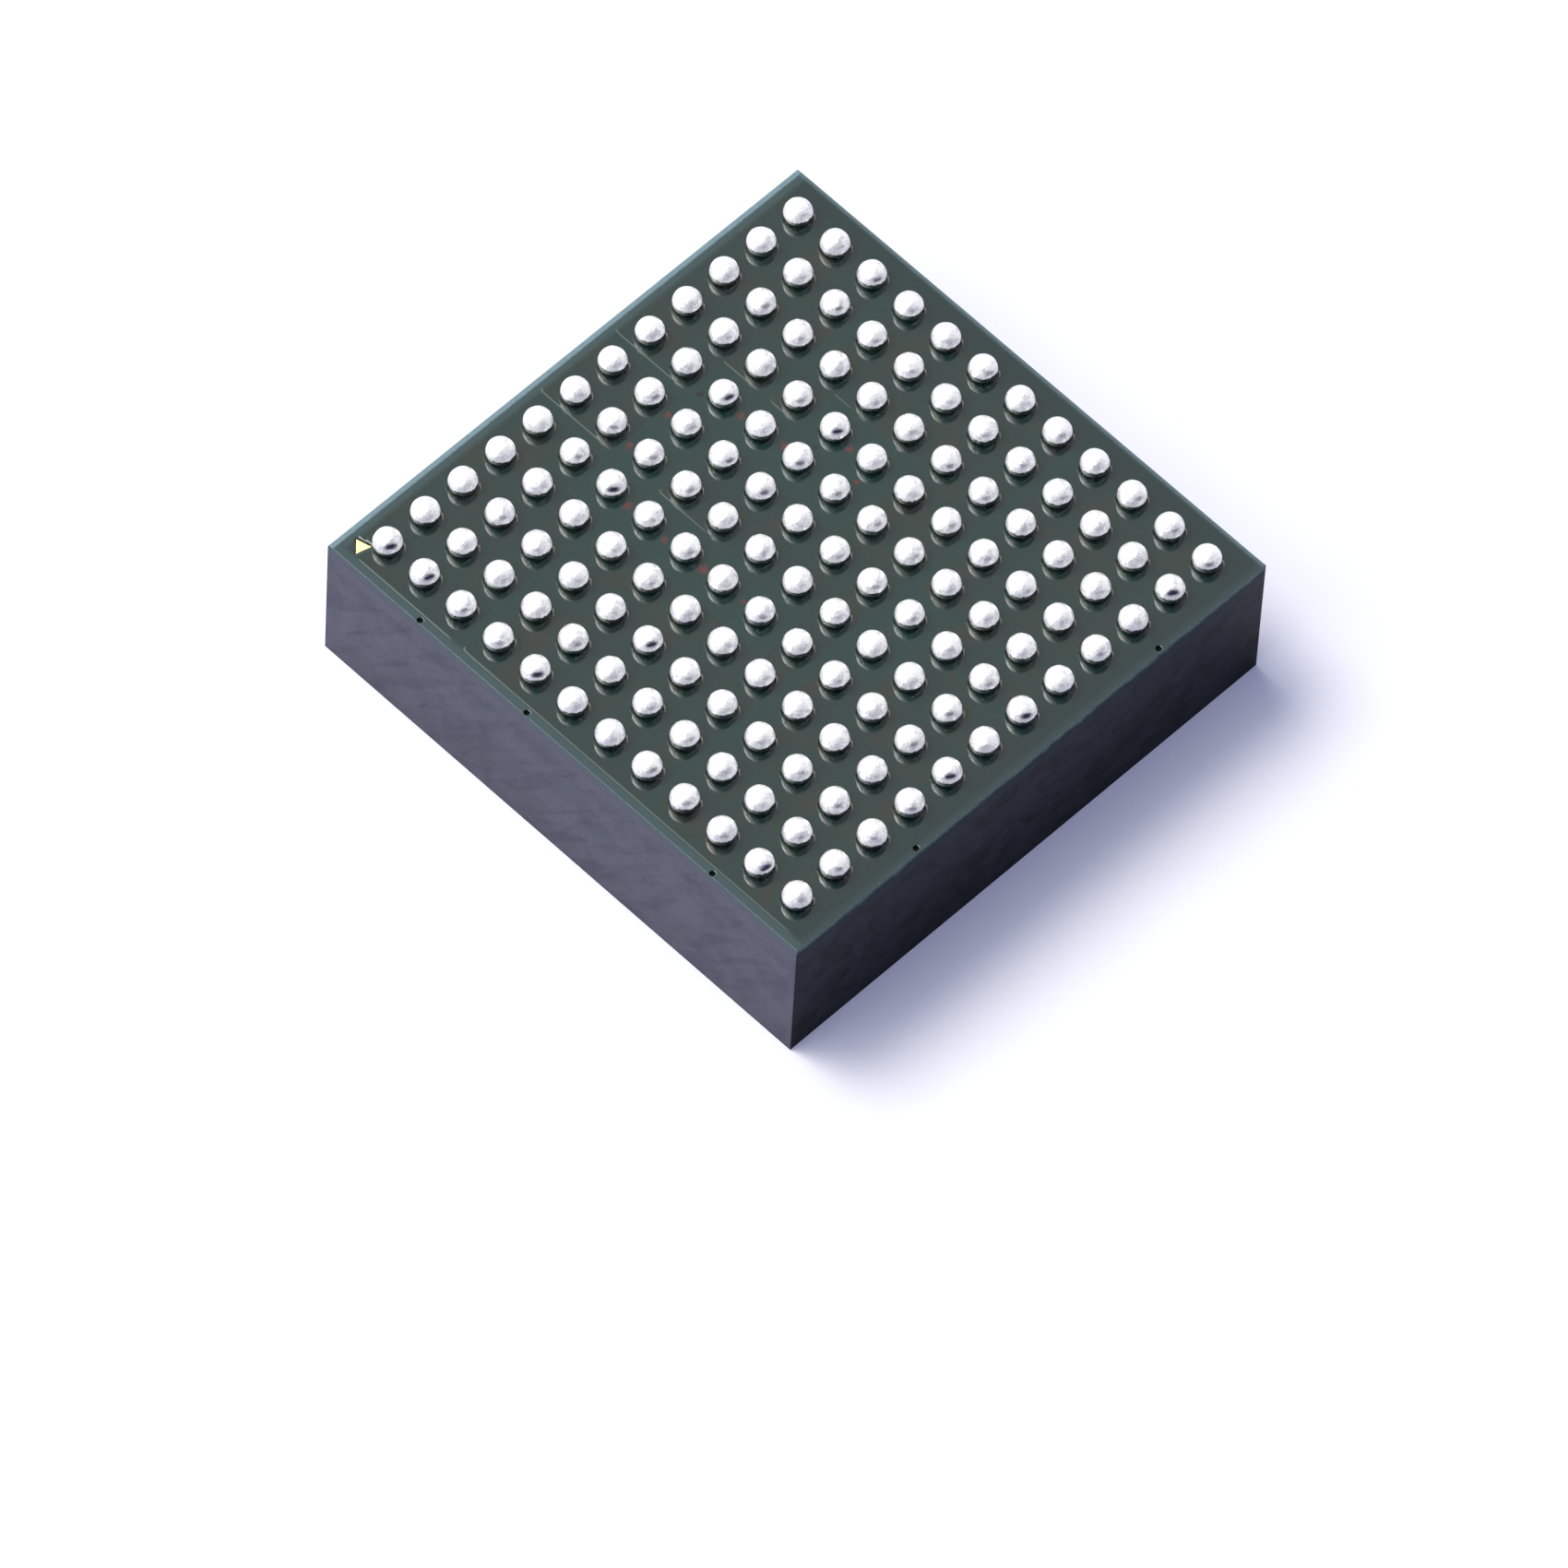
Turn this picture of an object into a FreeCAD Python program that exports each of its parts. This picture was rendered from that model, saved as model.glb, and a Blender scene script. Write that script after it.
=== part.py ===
import FreeCAD
import Part
import math
import os

# Moulded power module in a ball grid array package, lying with its solder balls up.
# The flat marking face of the mould rests on z = 0 and the middle of that face is the origin.
# +Z points out of the ball side. X runs along the numbered ball columns, and the lettered ball
# rows step from +Y to -Y, so ball A1 and the gold corner mark sit at -X +Y. Millimetres.

# Outline of the package
body_side = 16.0
mould_thickness = 4.0

# Layers of the board, each one counted once on either side of the core
mask_over_copper = 0.02
outer_copper = 0.03
prepreg = 0.07
inner_copper = 0.02
core_thickness = 0.13

# Solder ball grid
row_letters = "abcdefghjklm"
ball_columns = 12
ball_pitch = 1.27
ball_diameter = 0.75
ball_standoff = 0.60
mask_overlap = 0.05

# Copper pours
pour_edge_margin = 0.28
pour_gap = 0.33
pour_corner_radius = 0.12
plane_edge_margin = 0.40
via_diameter = 0.20
via_land_diameter = 0.32
antipad_diameter = 0.50

# Each net's pours as blocks of balls, from one corner ball of the block to the opposite one
net_blocks = {
    "output_left": [("a1", "b5"), ("a1", "c4")],
    "output_right": [("a8", "b12"), ("a9", "c12")],
    "ground": [("d1", "h4"), ("d6", "h7"), ("d9", "d12"), ("d10", "h12"), ("g6", "h12"), ("h1", "h12")],
    "ground_inlet": [("a6", "b7")],
    "input": [("k1", "m12"), ("j1", "m5"), ("j8", "m12")],
}
ground_nets = ("ground", "ground_inlet")

# Gold corner mark, an even-sided triangle whose tip points at ball A1
mark_side = 0.42
mark_heading = -45.0
mark_to_land = 0.04
mark_mask_clearance = 0.03
mark_pour_clearance = 0.16

# Bare spots in the ball side mask, just inside two edges
edge_spot_diameter = 0.16
edge_spot_inset = 0.10
edge_spots_along_y = (4.93, 1.27, -5.05)
edge_spots_along_x = (-3.87, 4.40)

# Room round the components
side_clearance = 0.45
row_gap = 0.45
joint_height = 0.05

# Ceramic power capacitors
power_cap_length = 2.0
power_cap_width = 1.25
power_cap_height = 1.25
power_cap_band = 0.40
output_cap_count = 6
input_cap_columns = 2
input_cap_rows = 2

# Small capacitors and resistors
small_length = 1.0
small_width = 0.5
small_band = 0.22
small_cap_height = 0.50
resistor_height = 0.35
small_columns = 3
terminal_plating = 0.03

# Power inductors
core_length = 6.2
core_width = 5.4
core_base_height = 1.70
core_cap_height = 1.20
gap_film = 0.05
strap_width = 2.4
strap_thickness = 0.30
strap_foot = 0.90

# Power switches and their copper clips
switch_count = 4
switch_pitch = 3.7
low_die_length = 2.2
low_die_width = 2.0
high_die_length = 1.8
high_die_width = 1.8
power_die_thickness = 0.20
clip_solder = 0.03
clip_thickness = 0.15
clip_inset = 0.25
clip_leg_gap = 0.50
clip_leg_length = 0.45

# Controller
control_die_side = 2.6
control_die_thickness = 0.25
finger_gap = 0.35
finger_length = 0.50
finger_width = 0.18
fingers_per_side = 6
finger_pitch = 0.38
bond_pad_inset = 0.15
wire_diameter = 0.05
wire_loop = 0.25
wire_bend = 0.10

# Levels, from the marking face up
z_component_copper = mould_thickness + mask_over_copper
z_lower_prepreg = z_component_copper + outer_copper
z_lower_plane = z_lower_prepreg + prepreg
z_core = z_lower_plane + inner_copper
z_upper_plane = z_core + core_thickness
z_upper_prepreg = z_upper_plane + inner_copper
z_ball_copper = z_upper_prepreg + prepreg
z_land = z_ball_copper + outer_copper
z_board = z_land + mask_over_copper
z_components = z_component_copper - joint_height

# Sizes that follow
half_side = body_side / 2
ball_radius = ball_diameter / 2
ball_centre = ball_standoff - ball_radius
opening_radius = math.sqrt(ball_radius**2 - ball_centre**2)
land_radius = opening_radius + mask_overlap
mark_radius = mark_side / math.sqrt(3)
via_radius = via_diameter / 2


def box(x, y, length, width, low, high):
    """Box centred on x, y, between two levels."""
    corner = FreeCAD.Vector(x - length / 2, y - width / 2, low)
    return Part.makeBox(length, width, high - low, corner)


def layer(low, high):
    """Full outline of the package between two levels."""
    return box(0, 0, body_side, body_side, low, high)


def disc(x, y, radius, low, high):
    return Part.makeCylinder(radius, high - low, FreeCAD.Vector(x, y, low))


def discs(places, radius, low, high):
    return [disc(x, y, radius, low, high) for x, y in places]


def prism(points, low, high):
    """Upright prism on a closed outline of x, y points."""
    corners = [FreeCAD.Vector(x, y, low) for x, y in points]
    outline = Part.Face(Part.makePolygon(corners + corners[:1]))
    return outline.extrude(FreeCAD.Vector(0, 0, high - low))


def fused(shapes):
    """One shape from many, with the seams between flush faces removed."""
    if len(shapes) == 1:
        return shapes[0]
    return shapes[0].fuse(shapes[1:]).removeSplitter()


def save(name, shapes):
    """Write one node, as one solid or as a group of separate solids."""
    solids = [solid for shape in shapes for solid in shape.Solids]
    Part.makeCompound(solids).exportStep("parts/" + name + ".step")


# Ball grid

def ball_x(column):
    return (column - (ball_columns + 1) / 2) * ball_pitch


def ball_y(row):
    return ((len(row_letters) - 1) / 2 - row) * ball_pitch


def solder_ball():
    """Sphere cut off where it meets the mask, with a neck down through the opening to its land."""
    axis_low = FreeCAD.Vector(0, 0, z_land)
    neck_low = FreeCAD.Vector(opening_radius, 0, z_land)
    neck_high = FreeCAD.Vector(opening_radius, 0, z_board)
    equator = FreeCAD.Vector(ball_radius, 0, z_board + ball_centre)
    crown = FreeCAD.Vector(0, 0, z_board + ball_standoff)
    outline = Part.Wire([
        Part.makeLine(axis_low, neck_low),
        Part.makeLine(neck_low, neck_high),
        Part.Arc(neck_high, equator, crown).toShape(),
        Part.makeLine(crown, axis_low),
    ])
    return Part.Face(outline).revolve(FreeCAD.Vector(0, 0, 0), FreeCAD.Vector(0, 0, 1), 360)


def ball_row(row):
    """The balls of one lettered row."""
    ball = solder_ball()
    return [ball.translated(FreeCAD.Vector(ball_x(column), ball_y(row), 0))
            for column in range(1, ball_columns + 1)]


def all_cells():
    return [(row, column) for row in range(len(row_letters)) for column in range(1, ball_columns + 1)]


# Nets, pours and vias

def ball_cell(ball):
    """Row number, from 0, and column number of a ball such as d12."""
    return row_letters.index(ball[0]), int(ball[1:])


def block_cells(block):
    """The balls, as row and column numbers, inside one block."""
    (top, left), (bottom, right) = ball_cell(block[0]), ball_cell(block[1])
    return {(row, column) for row in range(top, bottom + 1) for column in range(left, right + 1)}


def net_cells(net):
    return set().union(*[block_cells(block) for block in net_blocks[net]])


def signal_cells():
    """Balls that stand on a land of their own."""
    poured = set().union(*[net_cells(net) for net in net_blocks])
    return [cell for cell in all_cells() if cell not in poured]


def block_pour(block, low, high):
    """Rectangle over a block of balls, kept half a gap from the next net or clear of the edge."""
    half_cell = (ball_pitch - pour_gap) / 2
    limit = half_side - pour_edge_margin
    (top, first), (bottom, last) = ball_cell(block[0]), ball_cell(block[1])
    left = -limit if first == 1 else ball_x(first) - half_cell
    right = limit if last == ball_columns else ball_x(last) + half_cell
    back = limit if top == 0 else ball_y(top) + half_cell
    front = -limit if bottom == len(row_letters) - 1 else ball_y(bottom) - half_cell
    return box((left + right) / 2, (front + back) / 2, right - left, back - front, low, high)


def net_pour(net, low, high):
    """One net's copper area, with rounded corners."""
    pour = fused([block_pour(block, low, high) for block in net_blocks[net]])
    upright = [edge for edge in pour.Edges if edge.BoundBox.ZLength > (high - low) / 2]
    return pour.makeFillet(pour_corner_radius, upright)


def via_places(net):
    """Middles of each four balls that all belong to the net."""
    cells = net_cells(net)
    places = []
    for row, column in sorted(cells):
        if {(row + 1, column), (row, column + 1), (row + 1, column + 1)} <= cells:
            places.append(((ball_x(column) + ball_x(column + 1)) / 2, (ball_y(row) + ball_y(row + 1)) / 2))
    return places


def signal_via_places():
    return [(ball_x(column), ball_y(row)) for row, column in signal_cells()]


def all_via_places():
    return [place for net in net_blocks for place in via_places(net)] + signal_via_places()


# Corner mark

def mark_centre():
    heading = math.radians(mark_heading)
    reach = land_radius + mark_to_land + mark_radius
    return ball_x(1) - reach * math.cos(heading), ball_y(0) - reach * math.sin(heading)


def mark_prism(radius, low, high):
    """Triangle about the mark's centre, one tip at its heading."""
    x, y = mark_centre()
    turns = [math.radians(mark_heading + third * 120) for third in range(3)]
    return prism([(x + radius * math.cos(turn), y + radius * math.sin(turn)) for turn in turns], low, high)


def edge_spots():
    """Round openings in the mask near the -X and -Y edges."""
    near = -(half_side - edge_spot_inset)
    places = [(near, y) for y in edge_spots_along_y] + [(x, near) for x in edge_spots_along_x]
    return discs(places, edge_spot_diameter / 2, z_ball_copper, z_board)


# Board

def ball_side_copper():
    """Pours, the corner one cleared round the mark but not off its land, and the lone signal lands."""
    x, y = mark_centre()
    first_land = disc(ball_x(1), ball_y(0), land_radius, z_ball_copper, z_land)
    notch = disc(x, y, mark_radius + mark_pour_clearance, z_ball_copper, z_land).cut(first_land)
    pours = [net_pour(net, z_ball_copper, z_land).cut(notch) for net in net_blocks]
    return pours + discs(signal_via_places(), land_radius, z_ball_copper, z_land)


def ground_plane():
    """Unbroken inner foil, holed round every via that isn't ground."""
    side = body_side - 2 * plane_edge_margin
    foil = box(0, 0, side, side, z_upper_plane, z_upper_prepreg)
    ground = [place for net in ground_nets for place in via_places(net)]
    others = [place for place in all_via_places() if place not in ground]
    return foil.cut(discs(others, antipad_diameter / 2, z_upper_plane, z_upper_prepreg)
                    + discs(ground, via_radius, z_upper_plane, z_upper_prepreg))


def power_planes():
    """Inner foil cut into one area for each net."""
    planes = []
    for net in net_blocks:
        holes = discs(via_places(net), via_radius, z_lower_plane, z_core)
        planes.append(net_pour(net, z_lower_plane, z_core).cut(holes))
    return planes


# Components, which hang from the board towards the marking face

def hung(x, y, length, width, near, far):
    """Box centred on x, y, between two distances below the component seat."""
    return box(x, y, length, width, z_components - far, z_components - near)


def joint(x, y, length, width):
    """Solder through a mask opening, from the copper pad to the component seat."""
    return box(x, y, length, width, z_components, z_component_copper)


def chip_body(x, y, length, width, height):
    skin = 2 * terminal_plating
    return hung(x, y, length - skin, width - skin, terminal_plating, height - terminal_plating)


def chip_terminals(x, y, length, width, height, band):
    """The two plated ends that wrap a chip component's body."""
    body = chip_body(x, y, length, width, height)
    offset = (length - band) / 2
    return [hung(x + side * offset, y, band, width, 0, height).cut(body) for side in (-1, 1)]


def chip_joints(x, y, length, width, band):
    offset = (length - band) / 2
    return [joint(x + side * offset, y, band, width) for side in (-1, 1)]


def chip_pieces(name, places, length, width, height, band):
    """Equal chip components: their bodies and terminals as two nodes, and their joints."""
    bodies = [chip_body(x, y, length, width, height) for x, y in places]
    terminals = [end for x, y in places for end in chip_terminals(x, y, length, width, height, band)]
    joints = [end for x, y in places for end in chip_joints(x, y, length, width, band)]
    return {name + "_bodies": bodies, name + "_terminals": terminals}, joints


# Rows of components, each one placed against the row behind it
output_cap_y = half_side - side_clearance - power_cap_width / 2
inductor_y = output_cap_y - power_cap_width / 2 - row_gap - core_width / 2
inductor_x = half_side - side_clearance - core_length / 2 - strap_thickness
switch_y = inductor_y - core_width / 2 - row_gap - max(low_die_width, high_die_width) / 2
front_row_top = switch_y - max(low_die_width, high_die_width) / 2 - row_gap
input_cap_top_y = front_row_top - power_cap_width / 2
small_cap_y = front_row_top - input_cap_rows * (power_cap_width + row_gap) - small_width / 2
resistor_y = small_cap_y - small_width - row_gap
control_y = front_row_top - finger_gap - finger_length - control_die_side / 2


def output_cap_places():
    """One row along the back edge, from side to side."""
    span = body_side - 2 * side_clearance - power_cap_length
    pitch = span / (output_cap_count - 1)
    return [(step * pitch - span / 2, output_cap_y) for step in range(output_cap_count)]


def input_cap_places():
    """Blocks of capacitors in both front corners."""
    outer = half_side - side_clearance - power_cap_length / 2
    return [(side * (outer - column * (power_cap_length + row_gap)),
             input_cap_top_y - row * (power_cap_width + row_gap))
            for side in (-1, 1) for column in range(input_cap_columns) for row in range(input_cap_rows)]


def small_places(y):
    outer = half_side - side_clearance - small_length / 2
    return [(side * (outer - column * (small_length + row_gap)), y)
            for side in (-1, 1) for column in range(small_columns)]


# Inductors

def strap(x):
    """Flat copper turn: a bar through the core with both ends folded down and tucked under it."""
    reach = core_length / 2 + strap_thickness
    inner = core_length / 2
    toe = inner - strap_foot
    top = strap_thickness + core_base_height
    outline = [(-reach, 0), (-toe, 0), (-toe, strap_thickness), (-inner, strap_thickness),
               (-inner, top - strap_thickness), (inner, top - strap_thickness),
               (inner, strap_thickness), (toe, strap_thickness), (toe, 0), (reach, 0),
               (reach, top), (-reach, top)]
    corners = [FreeCAD.Vector(x + along, inductor_y - strap_width / 2, z_components - down)
               for along, down in outline]
    face = Part.Face(Part.makePolygon(corners + corners[:1]))
    return face.extrude(FreeCAD.Vector(0, strap_width, 0))


def core_base(x):
    """Ferrite block with a channel for the strap along its far face."""
    block = hung(x, inductor_y, core_length, core_width, strap_thickness, strap_thickness + core_base_height)
    return block.cut(strap(x))


def core_film(x):
    near = strap_thickness + core_base_height
    return hung(x, inductor_y, core_length, core_width, near, near + gap_film)


def core_cap(x):
    near = strap_thickness + core_base_height + gap_film
    return hung(x, inductor_y, core_length, core_width, near, near + core_cap_height)


def strap_joints(x):
    length = strap_foot + strap_thickness
    offset = core_length / 2 + strap_thickness - length / 2
    return [joint(x + side * offset, inductor_y, length, strap_width) for side in (-1, 1)]


# Power switches

def switch_cells():
    """Middles of the switch cells along X, the high side ones outermost."""
    return [(step - (switch_count - 1) / 2) * switch_pitch for step in range(switch_count)]


def die_x(cell):
    """Middle of a die, which shares its cell with the clip's leg on the +X side."""
    return cell - (clip_leg_gap + clip_leg_length) / 2


def leg_x(cell, die_length):
    return cell + (die_length + clip_leg_gap) / 2


def power_die(cell, die_length, die_width):
    return hung(die_x(cell), switch_y, die_length, die_width, 0, power_die_thickness)


def clip_pad_sizes(die_length, die_width):
    return die_length - 2 * clip_inset, die_width - 2 * clip_inset


def clip_joint(cell, die_length, die_width):
    """Solder between the die's far face and the clip."""
    length, width = clip_pad_sizes(die_length, die_width)
    near = power_die_thickness
    return hung(die_x(cell), switch_y, length, width, near, near + clip_solder)


def clip(cell, die_length, die_width):
    """Copper bridge from the die's far face, past its edge and up to a pad beside it."""
    length, width = clip_pad_sizes(die_length, die_width)
    under = power_die_thickness + clip_solder
    start = die_x(cell) - length / 2
    leg_start = leg_x(cell, die_length) - clip_leg_length / 2
    leg_end = leg_x(cell, die_length) + clip_leg_length / 2
    outline = [(start, under), (leg_start, under), (leg_start, 0), (leg_end, 0),
               (leg_end, under + clip_thickness), (start, under + clip_thickness)]
    corners = [FreeCAD.Vector(x, switch_y - width / 2, z_components - down) for x, down in outline]
    face = Part.Face(Part.makePolygon(corners + corners[:1]))
    return face.extrude(FreeCAD.Vector(0, width, 0))


def switch_joints(cell, die_length, die_width):
    """Solder under the die and under the clip's leg."""
    width = clip_pad_sizes(die_length, die_width)[1]
    return [joint(die_x(cell), switch_y, die_length, die_width),
            joint(leg_x(cell, die_length), switch_y, clip_leg_length, width)]


# Controller

def side_frames():
    """For each side of the die: outward direction and the direction along that side."""
    return [((1, 0), (0, 1)), ((0, 1), (-1, 0)), ((-1, 0), (0, -1)), ((0, -1), (1, 0))]


def finger_steps():
    return [(step - (fingers_per_side - 1) / 2) * finger_pitch for step in range(fingers_per_side)]


def control_point(frame, out, along):
    """Point at a distance out from the die's middle and along one of its sides."""
    (ox, oy), (ax, ay) = frame
    return out * ox + along * ax, control_y + out * oy + along * ay


def finger(frame, along, low, high, grow):
    """Wire bonding finger on the board, grown on each side where it is covered by mask."""
    x, y = control_point(frame, control_die_side / 2 + finger_gap + finger_length / 2, along)
    length, width = finger_length + 2 * grow, finger_width + 2 * grow
    if frame[0][0] == 0:
        length, width = width, length
    return box(x, y, length, width, low, high)


def fingers(low, high, grow):
    return [finger(frame, along, low, high, grow) for frame in side_frames() for along in finger_steps()]


def bond_wire(frame, along):
    """Round wire that leaves the die square to its face, runs out level and turns up to its finger."""
    inner = control_point(frame, control_die_side / 2 - bond_pad_inset, along)
    outer = control_point(frame, control_die_side / 2 + finger_gap + finger_length / 2, along)
    (ox, oy), _ = frame
    low = z_components - control_die_thickness - wire_loop
    outward = FreeCAD.Vector(ox, oy, 0)
    up = FreeCAD.Vector(0, 0, 1)
    start = FreeCAD.Vector(inner[0], inner[1], z_components - control_die_thickness)
    end = FreeCAD.Vector(outer[0], outer[1], z_component_copper)
    first = FreeCAD.Vector(inner[0], inner[1], low)
    second = FreeCAD.Vector(outer[0], outer[1], low)
    bow = wire_bend * (1 - math.sqrt(0.5))
    rise, run = up * wire_bend, outward * wire_bend
    path = Part.Wire([
        Part.makeLine(start, first + rise),
        Part.Arc(first + rise, first + (up + outward) * bow, first + run).toShape(),
        Part.makeLine(first + run, second - run),
        Part.Arc(second - run, second + (up - outward) * bow, second + rise).toShape(),
        Part.makeLine(second + rise, end),
    ])
    section = Part.Face(Part.Wire(Part.makeCircle(wire_diameter / 2, start, up)))
    return path.makePipe(section)


def control_die():
    return hung(0, control_y, control_die_side, control_die_side, 0, control_die_thickness)


# Component side of the board, and the mould

def component_side_copper(joints):
    """Pads under every joint, bonding fingers, and a land on each via."""
    grow = 2 * mask_overlap
    pads = []
    for bounds in [shape.BoundBox for shape in joints]:
        pads.append(box(bounds.Center.x, bounds.Center.y, bounds.XLength + grow, bounds.YLength + grow,
                        z_component_copper, z_lower_prepreg))
    pads += fingers(z_component_copper, z_lower_prepreg, mask_overlap)
    pads += discs(all_via_places(), via_land_diameter / 2, z_component_copper, z_lower_prepreg)
    return [fused(pads)]


def component_side_mask(copper, joints):
    bare = fingers(mould_thickness, z_component_copper, 0)
    return layer(mould_thickness, z_lower_prepreg).cut(copper + joints + bare)


def ball_side_mask(copper):
    """Mask over the ball side copper, open at every ball, at the corner mark and at the edge spots."""
    places = [(ball_x(column), ball_y(row)) for row, column in all_cells()]
    openings = discs(places, opening_radius, z_land, z_board)
    tip_reach = mark_mask_clearance / math.cos(math.radians(60))
    opened_mark = mark_prism(mark_radius + tip_reach, z_ball_copper, z_board)
    return layer(z_ball_copper, z_board).cut(copper + openings + [opened_mark] + edge_spots())


def mould_cap(contents):
    """Moulding compound round everything on the component side, keyed into the open fingers."""
    keys = fingers(mould_thickness, z_component_copper, 0)
    return layer(0, mould_thickness).fuse(keys).removeSplitter().cut(contents)


def passive_pieces():
    """All capacitors and resistors."""
    power_cap = (power_cap_length, power_cap_width, power_cap_height, power_cap_band)
    small_cap = (small_length, small_width, small_cap_height, small_band)
    resistor = (small_length, small_width, resistor_height, small_band)
    pieces, joints = {}, []
    for name, places, sizes in (("output_capacitor", output_cap_places(), power_cap),
                                ("input_capacitor", input_cap_places(), power_cap),
                                ("bypass_capacitor", small_places(small_cap_y), small_cap),
                                ("resistor", small_places(resistor_y), resistor)):
        found, ends = chip_pieces(name, places, *sizes)
        pieces.update(found)
        joints += ends
    return pieces, joints


def inductor_pieces():
    places = (-inductor_x, inductor_x)
    pieces = {
        "inductor_core_bases": [core_base(x) for x in places],
        "inductor_core_caps": [core_cap(x) for x in places],
        "inductor_gap_films": [core_film(x) for x in places],
        "inductor_windings": [strap(x) for x in places],
    }
    return pieces, [end for x in places for end in strap_joints(x)]


def switch_pieces():
    cells = switch_cells()
    high = [(cell, high_die_length, high_die_width) for cell in (cells[0], cells[-1])]
    low = [(cell, low_die_length, low_die_width) for cell in cells[1:-1]]
    pieces = {
        "high_side_switch_dies": [power_die(*switch) for switch in high],
        "low_side_switch_dies": [power_die(*switch) for switch in low],
        "switch_clips": [clip(*switch) for switch in high + low],
        "clip_solder_joints": [clip_joint(*switch) for switch in high + low],
    }
    return pieces, [end for switch in high + low for end in switch_joints(*switch)]


def control_pieces():
    attach = joint(0, control_y, control_die_side, control_die_side)
    wires = [bond_wire(frame, along) for frame in side_frames() for along in finger_steps()]
    return {"controller_die": [control_die()], "controller_die_attach": [attach],
            "controller_bond_wires": wires}


def board_pieces(joints):
    """Every layer of the board, from the component side to the ball side."""
    near_copper = component_side_copper(joints)
    filled = discs(all_via_places(), via_radius, z_lower_prepreg, z_ball_copper)
    powers = power_planes()
    ground = [ground_plane()]
    far_copper = ball_side_copper()
    return {
        "component_side_solder_mask": [component_side_mask(near_copper, joints)],
        "component_side_copper": near_copper,
        "component_side_prepreg": [layer(z_lower_prepreg, z_core).cut(powers + filled)],
        "power_plane_foil": powers,
        "board_core": [layer(z_core, z_upper_plane).cut(filled)],
        "ground_plane_foil": ground,
        "ball_side_prepreg": [layer(z_upper_plane, z_ball_copper).cut(ground + filled)],
        "copper_filled_vias": filled,
        "ball_side_copper": far_copper,
        "ball_side_solder_mask": [ball_side_mask(far_copper)],
        "pin_one_mark": [mark_prism(mark_radius, z_ball_copper, z_land)],
    }


def main():
    os.makedirs("parts", exist_ok=True)
    pieces, joints = {}, []
    for found, ends in (passive_pieces(), inductor_pieces(), switch_pieces()):
        pieces.update(found)
        joints += ends
    pieces["component_solder_joints"] = joints
    pieces.update(control_pieces())
    contents = [shape for shapes in pieces.values() for shape in shapes]
    pieces["mould_cap"] = [mould_cap(contents)]
    pieces.update(board_pieces(joints + pieces["controller_die_attach"]))
    for row, letter in enumerate(row_letters):
        pieces["solder_balls_row_" + letter] = ball_row(row)
    for name, shapes in pieces.items():
        save(name, shapes)


main()
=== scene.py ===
"""Looks of a ball grid array power module that lies ball side up on a pale floor.

Lengths are in millimetres in the code and become metres where a mesh, a lamp or the camera is made.
"""

import math

import bpy
import numpy as np
from mathutils import Matrix, Vector


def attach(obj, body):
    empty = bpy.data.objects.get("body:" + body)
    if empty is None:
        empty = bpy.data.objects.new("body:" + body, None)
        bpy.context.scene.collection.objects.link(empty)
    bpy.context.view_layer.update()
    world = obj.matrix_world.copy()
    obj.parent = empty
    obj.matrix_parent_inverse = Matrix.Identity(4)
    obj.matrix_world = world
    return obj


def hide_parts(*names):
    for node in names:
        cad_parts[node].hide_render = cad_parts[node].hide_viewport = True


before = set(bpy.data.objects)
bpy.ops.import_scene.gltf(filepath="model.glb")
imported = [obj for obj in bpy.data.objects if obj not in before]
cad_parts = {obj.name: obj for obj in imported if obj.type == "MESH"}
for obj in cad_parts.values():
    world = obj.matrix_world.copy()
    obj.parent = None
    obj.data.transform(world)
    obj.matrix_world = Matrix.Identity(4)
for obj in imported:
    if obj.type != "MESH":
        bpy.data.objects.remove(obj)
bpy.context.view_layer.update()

MM = 0.001

# Package, as the CAD model has it
BODY_SIDE = 16.0
EDGE = BODY_SIDE / 2
COPPER_FOOT = 4.36
LAND_TOP = 4.39
BOARD_TOP = 4.41
BALL_PITCH = 1.27
BALL_COLUMNS = 12
ROW_LETTERS = "abcdefghjklm"
BALL_RADIUS = 0.375
BALL_MIDDLE = BOARD_TOP + 0.225
OPENING_RADIUS = 0.30
LAND_RADIUS = 0.35
POUR_MARGIN = 0.28
POUR_GAP = 0.33
POUR_CORNER = 0.12

# Blocks of balls that stand on one copper pour, from corner ball to corner ball
POUR_BLOCKS = (
    ("a1", "b5"), ("a1", "c4"),
    ("a8", "b12"), ("a9", "c12"),
    ("d1", "h4"), ("d6", "h7"), ("d9", "d12"), ("d10", "h12"), ("g6", "h12"), ("h1", "h12"),
    ("a6", "b7"),
    ("k1", "m12"), ("j1", "m5"), ("j8", "m12"),
)

# Gold corner mark and the small bare spots near two sides
MARK_SIDE = 0.42
MARK_RADIUS = MARK_SIDE / math.sqrt(3)
MARK_HEADING = -45.0
MARK_TO_LAND = 0.04
MARK_OPENING = 0.06
MARK_POUR_ROOM = 0.16
SPOT_RADIUS = 0.08
SPOT_LINE = -7.9
SPOTS_ALONG_Y = (4.93, 1.27, -5.05)
SPOTS_ALONG_X = (-3.87, 4.40)


# Camera: headings in degrees, and the clip distances in metres

CAMERA_AZIMUTH, CAMERA_ELEVATION, CAMERA_ROLL = -47.98, 57.07, 3.67
CAMERA_DISTANCE = 488.8
CAMERA_AIM = (-3.50, -3.20, 1.57)
SENSOR_WIDTH = 36.0
FOCAL_LENGTH = 465.8
CLIP_DISTANCES = 0.01, 50.0


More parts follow.
